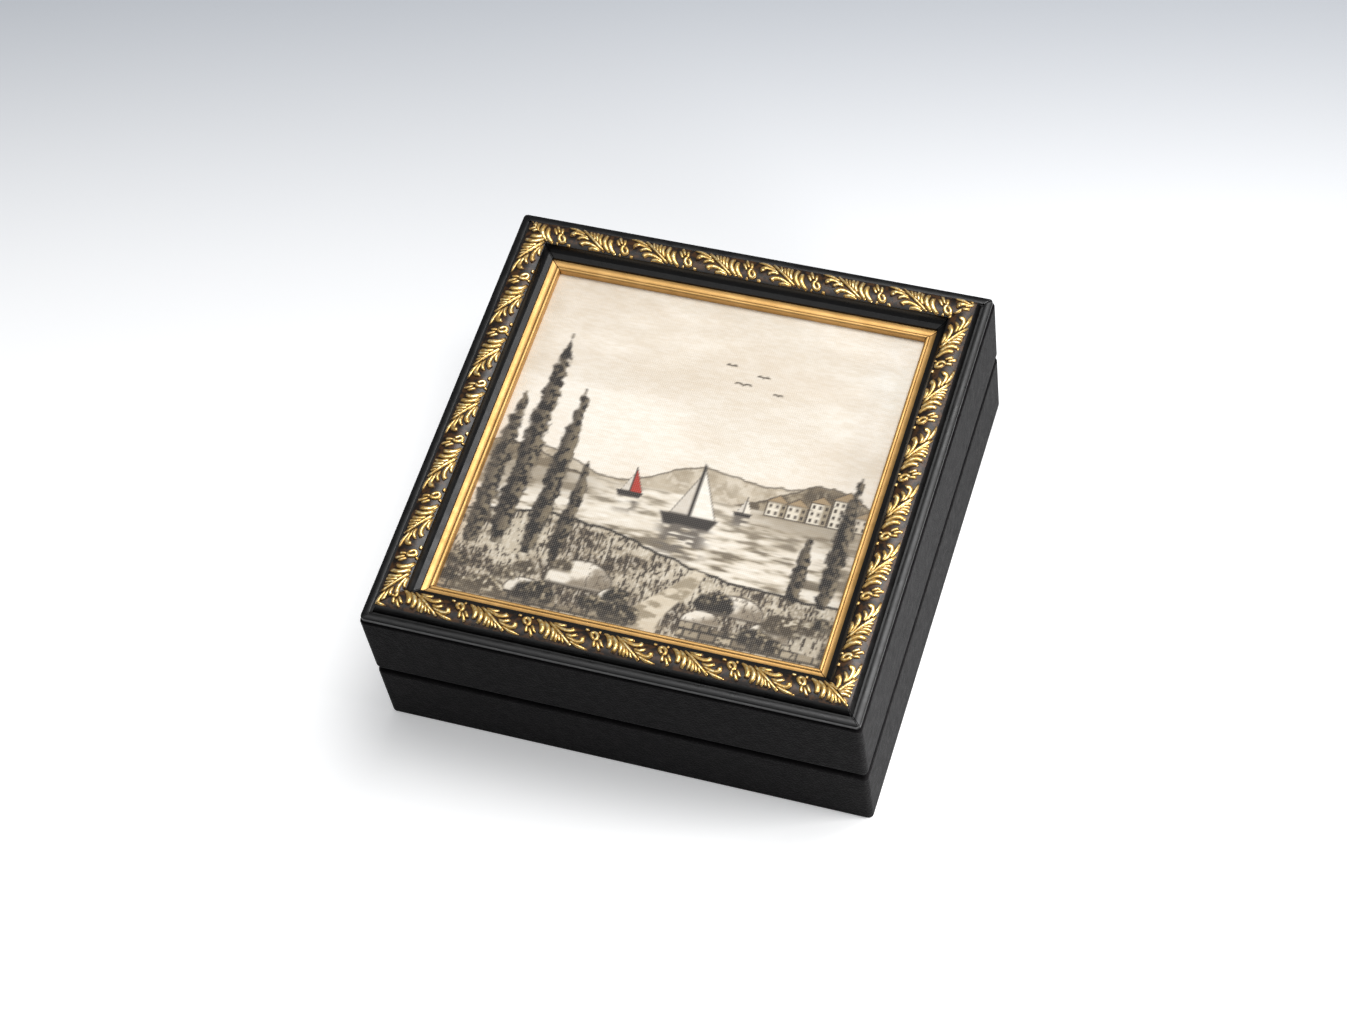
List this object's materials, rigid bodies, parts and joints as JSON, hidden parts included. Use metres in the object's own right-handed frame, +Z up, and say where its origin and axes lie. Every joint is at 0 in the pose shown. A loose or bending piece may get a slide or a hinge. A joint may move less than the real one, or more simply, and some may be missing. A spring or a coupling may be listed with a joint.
{
  "type": "turkish delight box",
  "caption": "Square confectionery box in black leatherette with a hinged lid that carries a gilt-ornamented picture frame and a canvas picture.",
  "frame": {"origin": "centre of the underside, on the surface the box stands on", "axes": "+X right along the front, +Y to the hinged back, +Z up"},
  "size_m": [0.2, 0.2032, 0.077],
  "materials": {
    "wrap_leatherette": "fine-grained black leatherette, satin",
    "felt": "black felt",
    "lining_paper": "cream lining paper over card",
    "black_moulding": "black satin lacquer with rubbed gilt relief",
    "gilt_slip": "gold finish over wood",
    "painted_canvas": "matt printed canvas",
    "nickel_magnet": "nickel plate",
    "steel": "bright steel",
    "brass": "plain bright brass",
    "raw_board": "raw fibreboard"
  },
  "bodies": {
    "base": {"base_back_board": "raw_board", "base_back_liner": "lining_paper", "base_bottom_felt": "felt", "base_bottom_panel": "raw_board", "base_cover": "wrap_leatherette", "base_floor_card": "lining_paper", "base_front_board": "raw_board", "base_front_liner": "lining_paper", "base_left_board": "raw_board", "base_left_liner": "lining_paper", "base_magnets": "nickel_magnet", "base_right_board": "raw_board", "base_right_liner": "lining_paper", "hinge_base_screws": "brass", "hinge_left_base_leaf": "brass", "hinge_left_pin": "brass", "hinge_right_base_leaf": "brass", "hinge_right_pin": "brass"},
    "lid": {"board_points": "steel", "frame_back_rail": "black_moulding", "frame_corner_nails": "steel", "frame_front_rail": "black_moulding", "frame_left_rail": "black_moulding", "frame_right_rail": "black_moulding", "gilt_back_slip": "gilt_slip", "gilt_front_slip": "gilt_slip", "gilt_left_slip": "gilt_slip", "gilt_right_slip": "gilt_slip", "hinge_left_lid_leaf": "brass", "hinge_lid_screws": "brass", "hinge_right_lid_leaf": "brass", "lid_back_board": "raw_board", "lid_back_liner": "lining_paper", "lid_ceiling_card": "lining_paper", "lid_ceiling_panel": "raw_board", "lid_cover": "wrap_leatherette", "lid_front_board": "raw_board", "lid_front_liner": "lining_paper", "lid_left_board": "raw_board", "lid_left_liner": "lining_paper", "lid_magnets": "nickel_magnet", "lid_right_board": "raw_board", "lid_right_liner": "lining_paper", "picture_board": "raw_board", "picture_canvas": "painted_canvas"}
  },
  "joints": [
    {"name": "lid_hinge", "type": "hinge", "parent": "base", "child": "lid", "pos_m": [0, 0.1016, 0.0343], "axis": [-1, 0, 0], "range_deg": [0, 95]}
  ]
}
